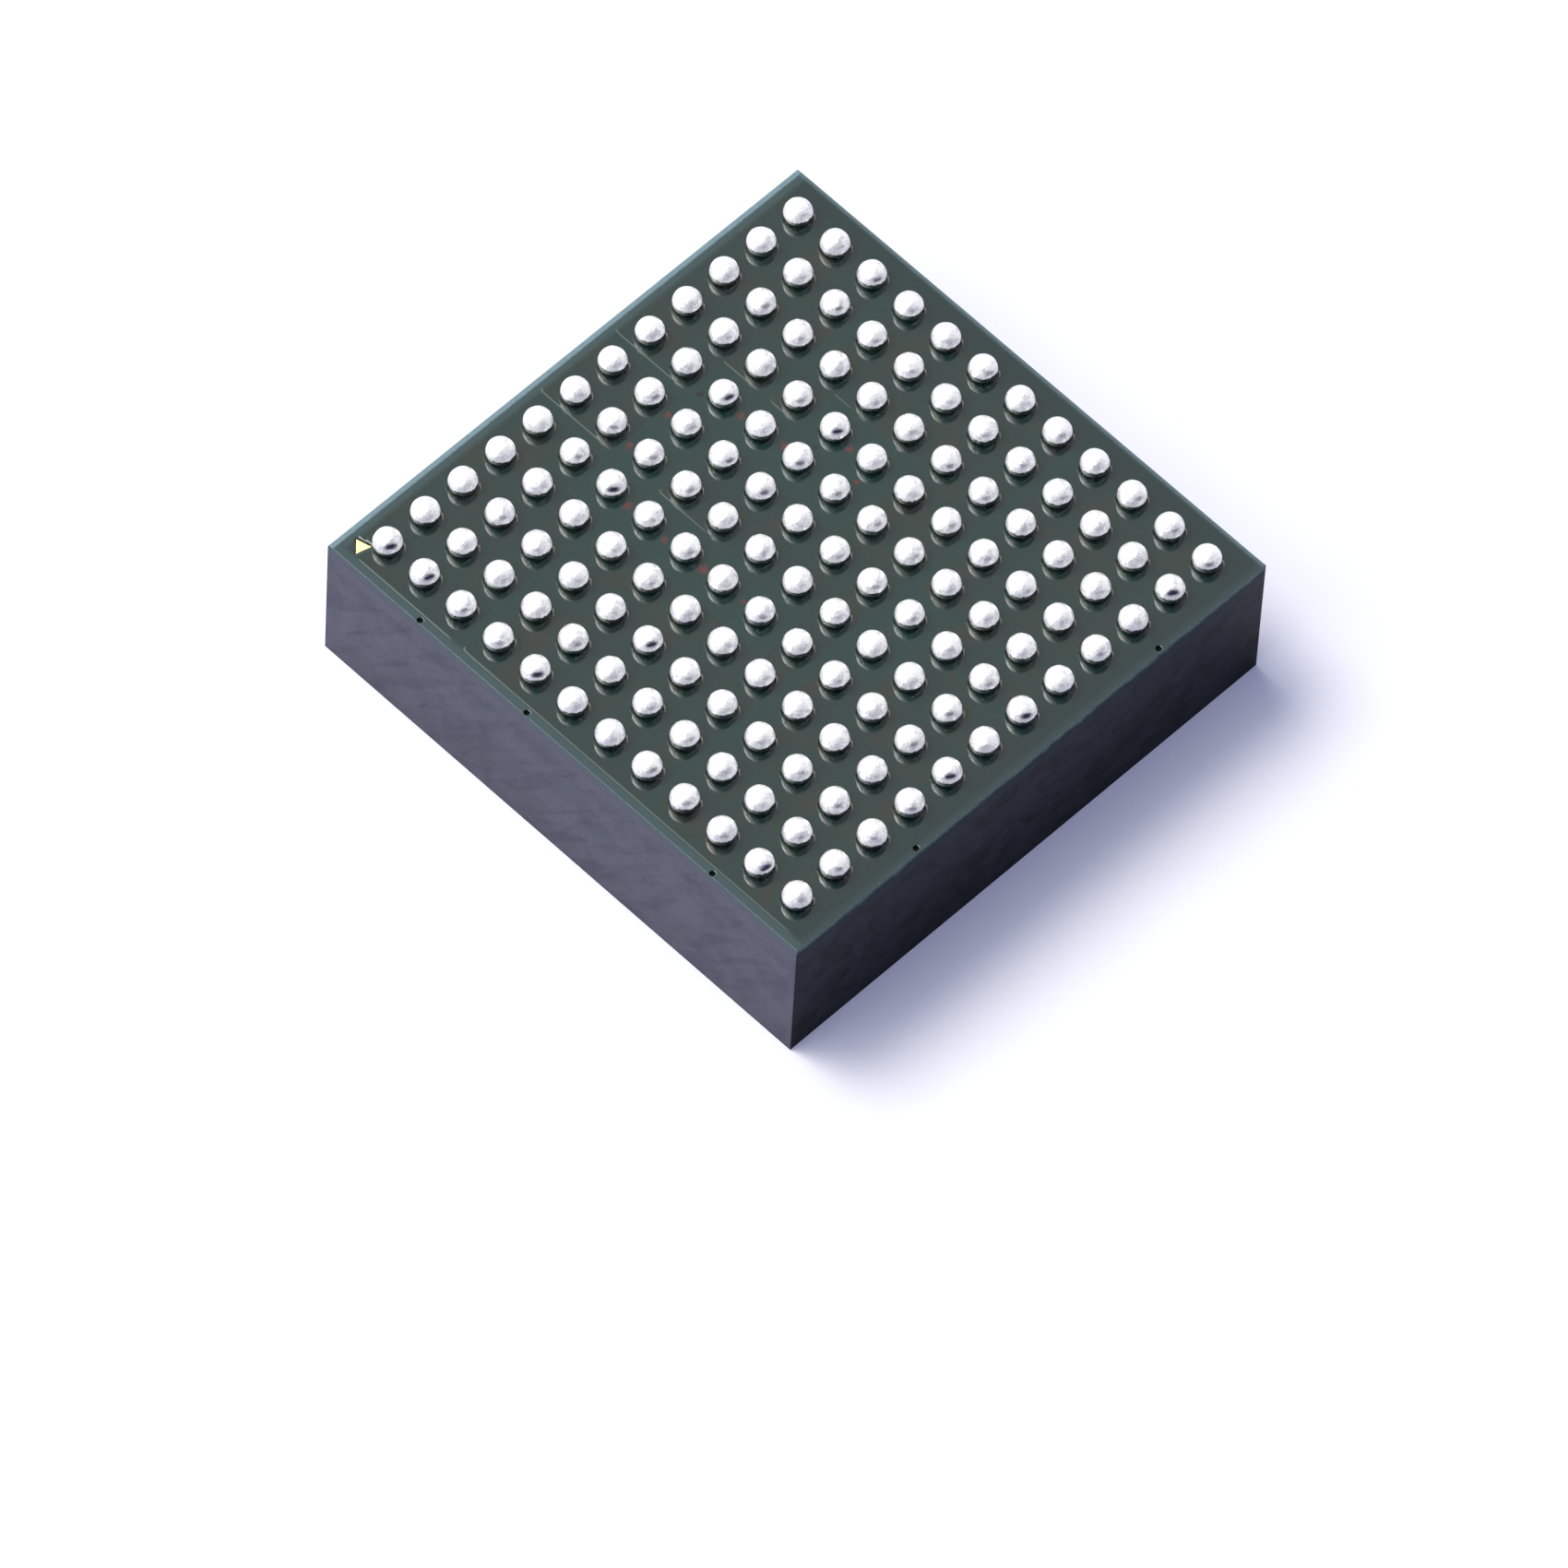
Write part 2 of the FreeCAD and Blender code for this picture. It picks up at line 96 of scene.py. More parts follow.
def aim_camera():
    """Long lens that looks at the A1 side corner from above, turned a little about its own axis."""
    azimuth, elevation, roll = np.radians([CAMERA_AZIMUTH, CAMERA_ELEVATION, CAMERA_ROLL]).tolist()
    back = Vector((math.sin(azimuth) * math.cos(elevation), -math.cos(azimuth) * math.cos(elevation),
                   math.sin(elevation)))
    level = Vector((math.cos(azimuth), math.sin(azimuth), 0))
    right = level * math.cos(roll) + back.cross(level) * math.sin(roll)
    turn = Matrix((right, back.cross(right), back)).transposed().to_4x4()
    data = bpy.data.cameras.new("studio_camera")
    data.sensor_width = SENSOR_WIDTH
    data.lens = FOCAL_LENGTH
    data.clip_start, data.clip_end = CLIP_DISTANCES
    camera = bpy.data.objects.new("studio_camera", data)
    camera.matrix_world = Matrix.Translation((Vector(CAMERA_AIM) + back * CAMERA_DISTANCE) * MM) @ turn
    bpy.context.scene.collection.objects.link(camera)
    bpy.context.scene.camera = camera


aim_camera()


# Shader language: the places of a Mix node's colour sockets, and how a seed shifts a noise along x, y and z

MIX_SHARE, MIX_FIRST, MIX_SECOND, MIX_RESULT = 0, 6, 7, 2
SEED_SHIFT = 1.0, 0.7, -1.0


class Reading:
    """A value in a material. Arithmetic on it adds Math nodes."""

    def __init__(self, recipe, socket):
        self.recipe, self.socket = recipe, socket

    def worked(self, operation, *values):
        return self.recipe.add("ShaderNodeMath", {"operation": operation}, values)

    def __add__(self, other):
        return self.worked("ADD", self, other)

    def __radd__(self, other):
        return self.worked("ADD", other, self)

    def __sub__(self, other):
        return self.worked("SUBTRACT", self, other)

    def __rsub__(self, other):
        return self.worked("SUBTRACT", other, self)

    def __mul__(self, other):
        return self.worked("MULTIPLY", self, other)

    def __rmul__(self, other):
        return self.worked("MULTIPLY", other, self)

    def __truediv__(self, other):
        return self.worked("DIVIDE", self, other)

    def __neg__(self):
        return self.worked("MULTIPLY", self, -1.0)

    def __abs__(self):
        return self.worked("ABSOLUTE", self)

    def most(self, other):
        return self.worked("MAXIMUM", self, other)

    def offset_in(self, pitch):
        """Signed distance to the middle of the cell, for cells of one pitch that meet at zero."""
        return (self.worked("FRACT", self / pitch) - 0.5) * pitch

    def ramp(self, low, high):
        """0 below low, 1 above high, with an S curve between. High may be the lower number."""
        return self.recipe.add("ShaderNodeMapRange", {"interpolation_type": "SMOOTHSTEP"},
                               {"Value": self, "From Min": low, "From Max": high})


class Recipe:
    """One material, or the room's light, under construction."""

    def __init__(self, owner, look_from="Object"):
        self.owner = owner
        owner.use_nodes = True
        self.tree = owner.node_tree
        self.tree.nodes.clear()
        self.look = self.add("ShaderNodeTexCoord", {}, {}, look_from)
        self.place = self.add("ShaderNodeVectorMath", {"operation": "SCALE"}, {0: self.look, "Scale": 1 / MM})
        self.x, self.y, self.z = (self.add("ShaderNodeSeparateXYZ", {}, (self.place,), axis)
                                  for axis in "XYZ")

    def node(self, kind, settings, sockets):
        """New node: its type, its settings, and the values or links of its sockets."""
        node = self.tree.nodes.new(kind)
        for key, value in settings.items():
            setattr(node, key, value)
        for key, value in sockets.items() if isinstance(sockets, dict) else enumerate(sockets):
            if isinstance(value, Reading):
                self.tree.links.new(value.socket, node.inputs[key])
            else:
                node.inputs[key].default_value = value
        return node

    def add(self, kind, settings, sockets, output=0):
        """New node, read at one of its outputs."""
        return Reading(self, self.node(kind, settings, sockets).outputs[output])

    def grain(self, size, detail=3.0, rough=0.5, stretch=(1, 1, 1), seed=0.0, sway=0.0):
        """Noise from 0 to 1 whose features are about size millimetres across, stretched along an axis."""
        spread = tuple(1 / (size * share) for share in stretch)
        shift = tuple(seed * share for share in SEED_SHIFT)
        scaled = self.add("ShaderNodeMapping", {}, {"Vector": self.place, "Scale": spread, "Location": shift})
        return self.noise(scaled, detail, rough, sway)

    def noise(self, place, detail, rough, sway):
        return self.add("ShaderNodeTexNoise", {}, {"Vector": place, "Scale": 1.0, "Detail": detail,
                                                   "Roughness": rough, "Distortion": sway}, "Fac")

    def blend(self, share, first, second):
        """Colour mixed from first to second by share."""
        values = {MIX_SHARE: share}
        for socket, colour in ((MIX_FIRST, first), (MIX_SECOND, second)):
            values[socket] = colour if isinstance(colour, Reading) else (*colour, 1.0)
        return self.add("ShaderNodeMix", {"data_type": "RGBA"}, values, MIX_RESULT)

    def attribute(self, name):
        return self.add("ShaderNodeAttribute", {"attribute_name": name}, {}, "Fac")

    def relief(self, height, depth, **normal):
        """Bump whose height of 1 is depth millimetres, on the surface's own normal or on the one given."""
        return self.add("ShaderNodeBump", {}, {"Distance": depth * MM, "Height": height, **normal})

    def seen(self):
        """1 where the ray comes from the camera, a gloss or a clear body, 0 where it gathers light."""
        path = self.node("ShaderNodeLightPath", {}, {})
        camera, glossy, clear = (Reading(self, path.outputs[f"Is {kind} Ray"])
                                 for kind in ("Camera", "Glossy", "Transmission"))
        return camera.most(glossy).most(clear)

    def surface(self, fixed, colour, rough, normal):
        """Principled surface from fixed socket values and from readings."""
        varied = {"Base Color": colour, "Roughness": rough, "Normal": normal}
        return self.add("ShaderNodeBsdfPrincipled", {}, {**fixed, **varied})

    def layered(self, share, first, second):
        """Shader mixed from first to second by share."""
        return self.add("ShaderNodeMixShader", {}, (share, first, second))

    def shown(self, surface, kind="Material"):
        """Ends the recipe with its output."""
        self.node(f"ShaderNodeOutput{kind}", {}, {"Surface": surface})
        return self.owner


def recipe(name):
    return Recipe(bpy.data.materials.new(name))


# Materials. Depths of a relief and places in a ramp are millimetres; noise and attributes go from 0 to 1.

# Headings of the balls' painted shade, away from the lamps, and of their painted light, towards the left
# window
SHADE_HEADING = math.radians(250)
WINDOW_HEADING = math.radians(165)


def sawn(r, lit_side_colour, shaded_side_colour, rough, normal):
    """Sawn side of the package as lit and shaded copies of one surface: painted light gives the two x sides
    a brighter satin metal copy, and painted shade gives everything else, the y sides among it, a darker plain
    copy.
    """
    lit_side = r.surface({"Metallic": 1.0}, lit_side_colour, rough, normal)
    shaded_side = r.surface({"IOR": 1.12}, shaded_side_colour, rough, normal)
    # Painted light and shade: the x sides take the lighter copy, every other face the darker one.
    on_x_side = abs(r.x).ramp(EDGE - 0.015, EDGE - 0.005)
    return r.layered(on_x_side, shaded_side, lit_side)


def mould_compound():
    """Sawn black-purple epoxy: blotches, smears that run aslant, a dark band below the board, filler, and
    painted shade:
    darker towards the bottom, darkest where it meets the floor, and a darker copy on the y sides.
    """
    r = recipe("mould_compound")
    blotch = r.grain(1.2, 4.0, 0.6, seed=3.1, sway=1.2)
    streak = r.grain(1.0, 3.0, 0.6, stretch=(4.0, 4.0, 0.2), seed=7.7)
    filler = r.grain(0.05, 2.0, 0.7)
    aslant = r.add("ShaderNodeCombineXYZ", {},
                   {"X": (r.y + r.z * 0.9) * 1.6, "Y": (r.y - r.z) * 0.25, "Z": r.x})
    smear = r.noise(aslant, 2.0, 0.5, 0.8)
    band = r.z.ramp(3.15, 3.40) * r.z.ramp(3.85, 3.60)
    # Painted shade: foot darkens where the sides meet the floor, and low darkens towards the bottom.
    foot = r.z.ramp(0.14, 0.02)
    low = r.z.ramp(1.6, 0.2)
    # corner darkens the whole of each y side, which is painted shade, and the ends of the x sides.
    corner = abs(r.y).ramp(EDGE - 0.07, EDGE - 0.01)
    light = 0.45 * blotch.ramp(0.35, 0.65) + 0.40 * smear.ramp(0.35, 0.55) + 0.15 * streak + 0.15 * filler
    shade = light - 0.16 * band - 0.35 * foot - 0.3 * corner - 0.12 * low
    blue_grey, purple_grey, dark_purple = (0.073, 0.083, 0.116), (0.085, 0.076, 0.121), (0.034, 0.036, 0.070)
    lit_side = r.blend(shade, dark_purple, r.blend(blotch.ramp(0.40, 0.60), blue_grey, purple_grey))
    # Darker copy for the y sides, darker still towards the bottom: painted shade.
    near_black, slate = (0.004, 0.0055, 0.007), (0.036, 0.039, 0.058)
    shaded_side = r.blend(shade * 0.6 + r.z.ramp(0.2, 4.2) * 0.4, near_black, slate)
    bump = r.relief(filler * 0.5 + streak * 0.7 + smear, 0.003)
    return r.shown(sawn(r, lit_side, shaded_side, 0.33 + 0.08 * filler + 0.08 * blotch, bump))


def laminate():
    """Sawn glass fibre laminate: as grey as the mould below, greener towards the mask, painted black as shade
    on its top, where it shows at the bottom of the bare spots, and a darker copy on the y sides, which is
    painted shade.
    """
    r = recipe("laminate")
    fibre = r.grain(0.05, 2.0, 0.6, stretch=(3.0, 3.0, 0.5))
    blotch = r.grain(0.9, 3.0, 0.6, seed=5.0)
    frayed = r.grain(0.35, 4.0, 0.7, seed=2.5)
    green = (r.z + 0.4 * (frayed - 0.5) + 0.16 * (blotch - 0.5)).ramp(4.15, COPPER_FOOT)
    # Painted shade: black on the laminate's top, at the bottom of the bare spots in the mask.
    bare = r.z.ramp(COPPER_FOOT - 0.004, COPPER_FOOT - 0.001)
    grey_sheen, green_sheen, pale_fibre = (0.077, 0.080, 0.121), (0.069, 0.090, 0.116), (0.10, 0.12, 0.14)
    lit_side = r.blend(fibre.ramp(0.55, 0.75) * 0.2, r.blend(green, grey_sheen, green_sheen), pale_fibre)
    # Darker copy for the y sides: painted shade.
    slate, green_grey, black = (0.020, 0.032, 0.044), (0.12, 0.18, 0.17), (0.002, 0.002, 0.002)
    shaded_side = r.blend(bare, r.blend(green, slate, green_grey), black)
    return r.shown(sawn(r, lit_side, shaded_side, 0.40 + 0.15 * fibre, r.relief(fibre, 0.003)))


def mask_colour(r, fleck, frayed):
    """Green lacquer, browner over copper, darker towards two sides, paler at the rim, with stains."""
    green_olive, brown_olive = (0.007, 0.026, 0.021), (0.016, 0.024, 0.018)
    deep_teal, light_teal = (0.004, 0.027, 0.023), (0.007, 0.032, 0.027)
    dusky_green, rim_green, cut_grey = (0.003, 0.020, 0.021), (0.040, 0.076, 0.079), (0.22, 0.34, 0.37)
    rust_red, soot_black = (0.14, 0.022, 0.016), (0.003, 0.004, 0.003)
    cloud = r.grain(1.1, 3.0, 0.5, seed=2.0)
    on_copper = r.blend(cloud.ramp(0.46, 0.68), green_olive, brown_olive)
    on_laminate = r.blend(cloud, deep_teal, light_teal)
    colour = r.blend(r.attribute("over_copper"), on_laminate, on_copper)
    colour = r.blend(r.x.most(-r.y).ramp(6.6, 7.6) * 0.7, colour, dusky_green)
    left_rim = (-r.x).ramp(7.66, 7.84) * 0.75
    back_rim = (r.y + 0.10 * (fleck - 0.5)).ramp(7.56, 7.76) * 0.7
    front_rim = (-r.y).ramp(7.75, 7.97) * 0.3
    colour = r.blend(left_rim.most(back_rim).most(front_rim), colour, rim_green)
    back_cut = (r.y + 0.04 * (frayed - 0.5)).ramp(7.82, 7.89)
    right_cut = r.x.ramp(7.84, 7.96) * 0.5
    colour = r.blend(back_cut.most(right_cut) * (0.5 + 0.5 * fleck), colour, cut_grey)
    rust = (r.attribute("rust") + 0.9 * (frayed - 0.5)).ramp(0.42, 0.92) * 0.85
    soot = (r.attribute("soot") + 0.9 * (frayed - 0.5)).ramp(0.45, 0.80)
    return r.blend(soot, r.blend(rust, colour, rust_red), soot_black)


def solder_mask():
    """Green lacquer under a clear gloss. Its sawn sides, and a torn line along two of them, take the package
    sides'
    lit and shaded copies: painted light on the x sides, painted shade elsewhere.
    """
    r = recipe("solder_mask")
    fleck = r.grain(0.12, 3.0, 0.6, seed=9.0)
    frayed = r.grain(0.09, 2.0, 0.6, seed=5.0)
    bump = r.relief(r.grain(0.35, 2.0, 0.5, seed=4.0) + 0.15 * fleck, 0.0008)
    gloss = {"IOR": 1.1, "Coat Weight": 1.0, "Coat IOR": 1.58, "Coat Roughness": 0.06}
    lacquer = r.surface(gloss, mask_colour(r, fleck, frayed), 0.30 + 0.1 * fleck, bump)
    ball_side = r.z.ramp(4.2, 4.3)
    # Lighter copy for the x sides, painted light, and darker copy for the y sides, painted shade.
    grey_sheen, blue_sheen, pale_sheen = (0.074, 0.078, 0.120), (0.056, 0.078, 0.112), (0.074, 0.098, 0.134)
    cut_sheen = r.blend(ball_side, grey_sheen, r.blend(fleck, blue_sheen, pale_sheen))
    slate, green_grey = (0.020, 0.028, 0.038), (0.12, 0.175, 0.165)
    cut = sawn(r, cut_sheen, r.blend(ball_side, slate, green_grey), 0.4, bump)
    side = abs(r.x).most(abs(r.y)).ramp(EDGE - 0.004, EDGE - 0.001)
    torn = ((-r.x).most(-r.y - 0.020) + 0.05 * (frayed - 0.5)).ramp(EDGE - 0.038, EDGE - 0.028)
    return r.shown(r.layered(side.most(torn), lacquer, cut))


def solder():
    """Reflowed solder: frosted bright crown, streaked smooth belly, ragged border between them, dark dents.
    Painted light and shade: the crown is painted bright and the belly darker, the crown greys low down and
    towards the shade's heading, the belly turns bright towards the left window and low down, and each dent is
    painted dark in place of a dark reflection.

    The crown's normal leans upward, the more so the lower the place, because frost catches light from above.
    """
    r = recipe("solder")
    frost_white, frost_grey = (0.98, 0.98, 1.0), (0.68, 0.68, 0.76)
    tin_grey, bright_tin, dent_shadow = (0.32, 0.32, 0.37), (0.97, 0.97, 0.98), (0.05, 0.05, 0.10)
    height = (r.z - BALL_MIDDLE) / BALL_RADIUS
    side_x, side_y = (place.offset_in(BALL_PITCH) / BALL_RADIUS for place in (r.x, r.y))
    window_side = side_x * math.cos(WINDOW_HEADING) + side_y * math.sin(WINDOW_HEADING)
    front = side_x * math.cos(SHADE_HEADING) + side_y * math.sin(SHADE_HEADING)
    window = window_side.ramp(0.35, 0.75)
    above = r.attribute("above_border")
    # dent is each dent's painted darkness, a painted dark reflection.
    dent = r.attribute("dent")
    crinkle = r.grain(0.10, 3.0, 0.6, seed=1.0)
    frost = r.grain(0.045, 3.0, 0.7, seed=6.0)
    patch = r.grain(0.20, 2.0, 0.5, seed=8.0)
    drip = r.grain(0.10, 3.0, 0.6, stretch=(1.0, 1.0, 4.0), seed=3.0)
    crown = (above + 0.36 * (crinkle - 0.5)).ramp(-0.06, 0.06)
    # Grey patches from noise, plus painted shade: greyer low on the crown and towards the shade's heading.
    grey_patches_and_shade = (patch * 0.4 + frost * 0.6 + 0.08 * (0.9 - height) + 0.05 * front).ramp(0.53, 0.61)
    frosted = r.blend(grey_patches_and_shade * (0.4 + 0.6 * above.ramp(0.08, 0.40)), frost_white, frost_grey)
    # Painted light: the belly turns to bright tin towards the left window and low down, and along streaks.
    lit_side_and_streaks = window.most(height.ramp(-0.25, -0.40)).most(drip.ramp(0.52, 0.60) * 0.7)
    belly = r.blend(lit_side_and_streaks * drip.ramp(0.30, 0.50), tin_grey, bright_tin)
    # Painted light and shade: the crown above the border is the lit, lighter copy and the belly mostly the
    # shaded, darker one.
    colour = r.blend(dent, r.blend(crown, belly, frosted), dent_shadow)
    rough = 0.22 - 0.07 * window + crown * (0.13 + 0.07 * window + 0.18 * frost) - 0.09 * dent
    lean = r.add("ShaderNodeCombineXYZ", {}, {"Z": (1.0 - height) * crown * (0.62 - 0.12 * window)})
    normal = r.add("ShaderNodeNewGeometry", {}, {}, "Normal")
    normal = r.add("ShaderNodeVectorMath", {"operation": "ADD"}, (normal, lean))
    normal = r.add("ShaderNodeVectorMath", {"operation": "NORMALIZE"}, (normal,))
    bump = r.relief((crinkle * 0.6 + frost * 0.4) * (0.75 + 0.45 * front), 0.024, Normal=normal)
    return r.shown(r.surface({"Metallic": 1.0}, colour, rough, bump))


def plain_metal(name, light, dark, size):
    """Metal with grain: two tones mixed by noise, a rough skin and a shallow bump."""
    r = recipe(name)
    grain = r.grain(size, 3.0, 0.6)
    wide = r.grain(size * 9, 2.0, 0.5, seed=4.0)
    colour = r.blend(grain * 0.5 + wide * 0.5, dark, light)
    return r.shown(r.surface({"Metallic": 1.0}, colour, 0.35 + 0.2 * (grain - 0.5), r.relief(grain, 0.002)))


def plain_body(name, light, dark, size, rough, depth, speckle):
    """Fired or cast body: two tones mixed by noise, dark specks and a fine bump."""
    r = recipe(name)
    grain = r.grain(size, 3.0, 0.6)
    wide = r.grain(size * 12, 2.0, 0.5, seed=4.0)
    colour = r.blend(grain * 0.5 + wide * 0.5, dark, light)
    colour = r.blend(grain.ramp(0.62, 0.74) * speckle, colour, tuple(0.4 * c for c in dark))
    return r.shown(r.surface({"IOR": 1.5}, colour, rough + 0.2 * (grain - 0.5), r.relief(grain, depth)))


# Light tone, dark tone and grain size
METALS = {
    "copper": ((0.85, 0.46, 0.30), (0.62, 0.30, 0.18), 0.08),
    "gold": ((1.0, 0.80, 0.45), (0.90, 0.68, 0.34), 0.05),
    "tin_plate": ((0.80, 0.80, 0.79), (0.62, 0.62, 0.62), 0.06),
}
# Light tone, dark tone, grain size, roughness, depth of the bump and share of dark in the specks
BODIES = {
    "ferrite": ((0.045, 0.045, 0.050), (0.020, 0.020, 0.022), 0.06, 0.6, 0.004, 0.5),
    "ceramic_body": ((0.46, 0.34, 0.22), (0.34, 0.24, 0.15), 0.05, 0.5, 0.003, 0.3),
    "alumina": ((0.85, 0.85, 0.83), (0.72, 0.72, 0.70), 0.05, 0.5, 0.002, 0.1),
    "silicon": ((0.16, 0.17, 0.20), (0.10, 0.11, 0.13), 0.04, 0.2, 0.001, 0.0),
    "film": ((0.62, 0.48, 0.20), (0.45, 0.33, 0.12), 0.08, 0.4, 0.002, 0.0),
}

finishes = {made.__name__: made() for made in (mould_compound, laminate, solder_mask, solder)}
finishes.update({name: plain_metal(name, *look) for name, look in METALS.items()})
finishes.update({name: plain_body(name, *look) for name, look in BODIES.items()})
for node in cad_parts.values():
    for slot in node.material_slots:
        slot.material = finishes[slot.material.name.split(".")[0]]


# Meshes

def new_mesh(name, points, faces):
    """Mesh object at the origin from millimetre points and arrays of faces."""
    mesh = bpy.data.meshes.new(name)
    mesh.from_pydata((points * MM).tolist(), [], [face for part in faces for face in part.tolist()])
    made = bpy.data.objects.new(name, mesh)
    bpy.context.scene.collection.objects.link(made)
    return made


def new_piece(name, stands_for, points, faces, finish, attributes, flat_faces=0):
    """Smooth piece in place of a CAD node, with floats on its points. Its last faces can be flat."""
    piece = new_mesh(name, points, faces)
    mesh = piece.data
    smooth = np.arange(len(mesh.polygons)) < len(mesh.polygons) - flat_faces
    mesh.polygons.foreach_set("use_smooth", smooth)
    for key, values in attributes.items():
        mesh.attributes.new(key, "FLOAT", "POINT").data.foreach_set("value", values.astype(np.float32))
    mesh.materials.append(finishes[finish])
    mesh.update()
    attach(piece, "root")
    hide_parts(stands_for)


def round_faces(segments, rings):
    """Fan round point 0, then rings of quads further out, for points that are numbered ring after ring."""
    turn = np.arange(segments)
    after = (turn + 1) % segments
    fan = np.stack([0 * turn, 1 + turn, 1 + after], -1)
    start = 1 + segments * np.arange(rings)[:, None]
    quads = np.stack([start + turn, start + segments + turn, start + segments + after, start + after], -1)
    return [fan, quads.reshape(-1, 4)]


def ball_x(column):
    return (column - (BALL_COLUMNS + 1) / 2) * BALL_PITCH


def ball_y(row):
    return ((len(ROW_LETTERS) - 1) / 2 - row) * BALL_PITCH


# Solder balls. Depths, heights and distances here are shares of the ball's radius, and angles are degrees.

BALL_SEGMENTS = 36
BALL_RINGS = 18
FIRST_SEED = 1000
SEEDS_PER_ROW = 50
LUMP_WAVES = 6
LUMP_DEPTH = 0.0034
LUMP_STEEPNESS = 3.5, 13.0
FULL_TURN = 6.28
LUMPS_FADE_FROM, LUMPS_FADE_OVER = -0.6, 0.3
BORDER_HEIGHT = -0.10, 0.09
BORDER_TILT = 0.13
PLAIN_DENT = 0.03, 0.38
DENT_TURN = 230, 258
DENT_RISE = 31, 40
DENT_CONE, DENT_CONE_GROWTH = 10, 14
DENT_SHALLOWNESS = 0.15
LEAST_FACING = 0.2
DENT_WIDE, DENT_HIGH = 1.35, 0.62
DENT_EDGE = 2.4
# Strength of the dents' painted darkness, a painted dark reflection
DENT_DARKNESS = 1.6
# Balls with a plain dent in the photo, and its size
DENTS = {
    "a1": 1.0, "b1": 0.9, "e1": 0.9, "l1": 1.0, "c5": 0.9, "c8": 0.8, "f3": 0.9, "e9": 0.8, "m5": 0.9,
    "m7": 0.8, "m11": 1.0, "m12": 0.4, "l6": 0.4, "d7": 0.5, "e7": 0.5, "e8": 0.5, "f8": 0.4, "b7": 0.4,
    "c11": 0.4, "c12": 0.5, "e2": 0.4, "h1": 0.4, "h7": 0.3, "h8": 0.3, "h9": 0.3, "h10": 0.3, "g10": 0.4,
}


def ball_directions():
    """Unit directions of a ball's points: the crown, then rings from there down to the mask's level."""
    low_angle = math.acos(-(BALL_MIDDLE - BOARD_TOP) / BALL_RADIUS)
    polar = np.linspace(0, low_angle, BALL_RINGS + 1)[1:]
    turn = np.arange(BALL_SEGMENTS) * 2 * np.pi / BALL_SEGMENTS
    p, t = np.meshgrid(polar, turn, indexing="ij")
    way = np.stack([np.sin(p) * np.cos(t), np.sin(p) * np.sin(t), np.cos(p)], -1).reshape(-1, 3)
    return np.vstack([[0, 0, 1.0], way])


def lumpy_radius(way, draws):
    """Radius times 1 less a sum of cosines of the direction along random lines, which fades out below."""
    lumps = np.zeros(len(way))
    for _ in range(LUMP_WAVES):
        line = draws.normal(size=3)
        line *= draws.uniform(*LUMP_STEEPNESS) / np.linalg.norm(line)
        lumps += LUMP_DEPTH * np.cos(way @ line + draws.uniform(0, FULL_TURN))
    fade = np.clip((way[:, 2] - LUMPS_FADE_FROM) / LUMPS_FADE_OVER, 0, 1)
    return BALL_RADIUS * (1 - (lumps - lumps.min()) * fade)


def ball_surface(draws, dent_size):
    """One ball about its middle: a lumpy sphere cut off at the mask, then a straight neck to the land.

    The radius is capped by a plane at right angles to the dent's middle direction, a little outside the
    plane through the dent's cone, so that the dent is a shallow flat. The dent's darkness, a painted dark
    reflection, falls along a straight line over an oval round that direction. Above the border the ball is
    frosted and painted lighter, as a lit top over a shaded underside; the border's height follows the cosine
    of the turn from the heading of the painted shade.
    """
    way = ball_directions()
    radius = lumpy_radius(way, draws)
    turned, rise = math.radians(draws.uniform(*DENT_TURN)), math.radians(draws.uniform(*DENT_RISE))
    middle = np.array([math.cos(turned) * math.cos(rise), math.sin(turned) * math.cos(rise), math.sin(rise)])
    facing = way @ middle
    cone = math.cos(math.radians(DENT_CONE + DENT_CONE_GROWTH * dent_size))
    plane = BALL_RADIUS * (cone + DENT_SHALLOWNESS * (1 - cone))
    points = way * np.minimum(radius, plane / np.maximum(facing, LEAST_FACING))[:, None]
    across = np.cross([0, 0, 1.0], middle)
    across /= np.linalg.norm(across)
    high = np.cross(middle, across)
    oval = np.hypot(way @ across / DENT_WIDE, way @ high / DENT_HIGH) / math.sin(math.acos(cone))
    # Painted darkness of the dent, a painted dark reflection.
    dent = np.clip(DENT_EDGE * (1 - oval), 0, 1) * (facing > 0) * min(1.0, dent_size * DENT_DARKNESS)
    flat = np.maximum(np.hypot(way[:, 0], way[:, 1]), 1e-6)
    # The border stands higher towards the shade's heading, so the painted lit crown shrinks on that side.
    towards_shade = (way[:, 0] * math.cos(SHADE_HEADING) + way[:, 1] * math.sin(SHADE_HEADING)) / flat
    above = way[:, 2] - draws.uniform(*BORDER_HEIGHT) - BORDER_TILT * towards_shade
    foot = points[-BALL_SEGMENTS:]
    foot[:, :2] *= (OPENING_RADIUS / np.hypot(foot[:, 0], foot[:, 1]))[:, None]
    land = LAND_TOP - BALL_MIDDLE
    neck = foot * [1, 1, 0] + [0, 0, land]
    points = np.vstack([points, neck, [[0, 0, land]]])
    below = np.ones(BALL_SEGMENTS + 1)
    return points, {"dent": np.append(dent, 0 * below), "above_border": np.append(above, -below)}


def ball_faces():
    """Faces of one ball: a fan at the crown, rings of quads down to the neck's foot and a fan below."""
    turn = np.arange(BALL_SEGMENTS)
    last = 1 + BALL_RINGS * BALL_SEGMENTS
    base = np.stack([last + (turn + 1) % BALL_SEGMENTS, last + turn, last + BALL_SEGMENTS + 0 * turn], -1)
    return [*round_faces(BALL_SEGMENTS, BALL_RINGS), base]


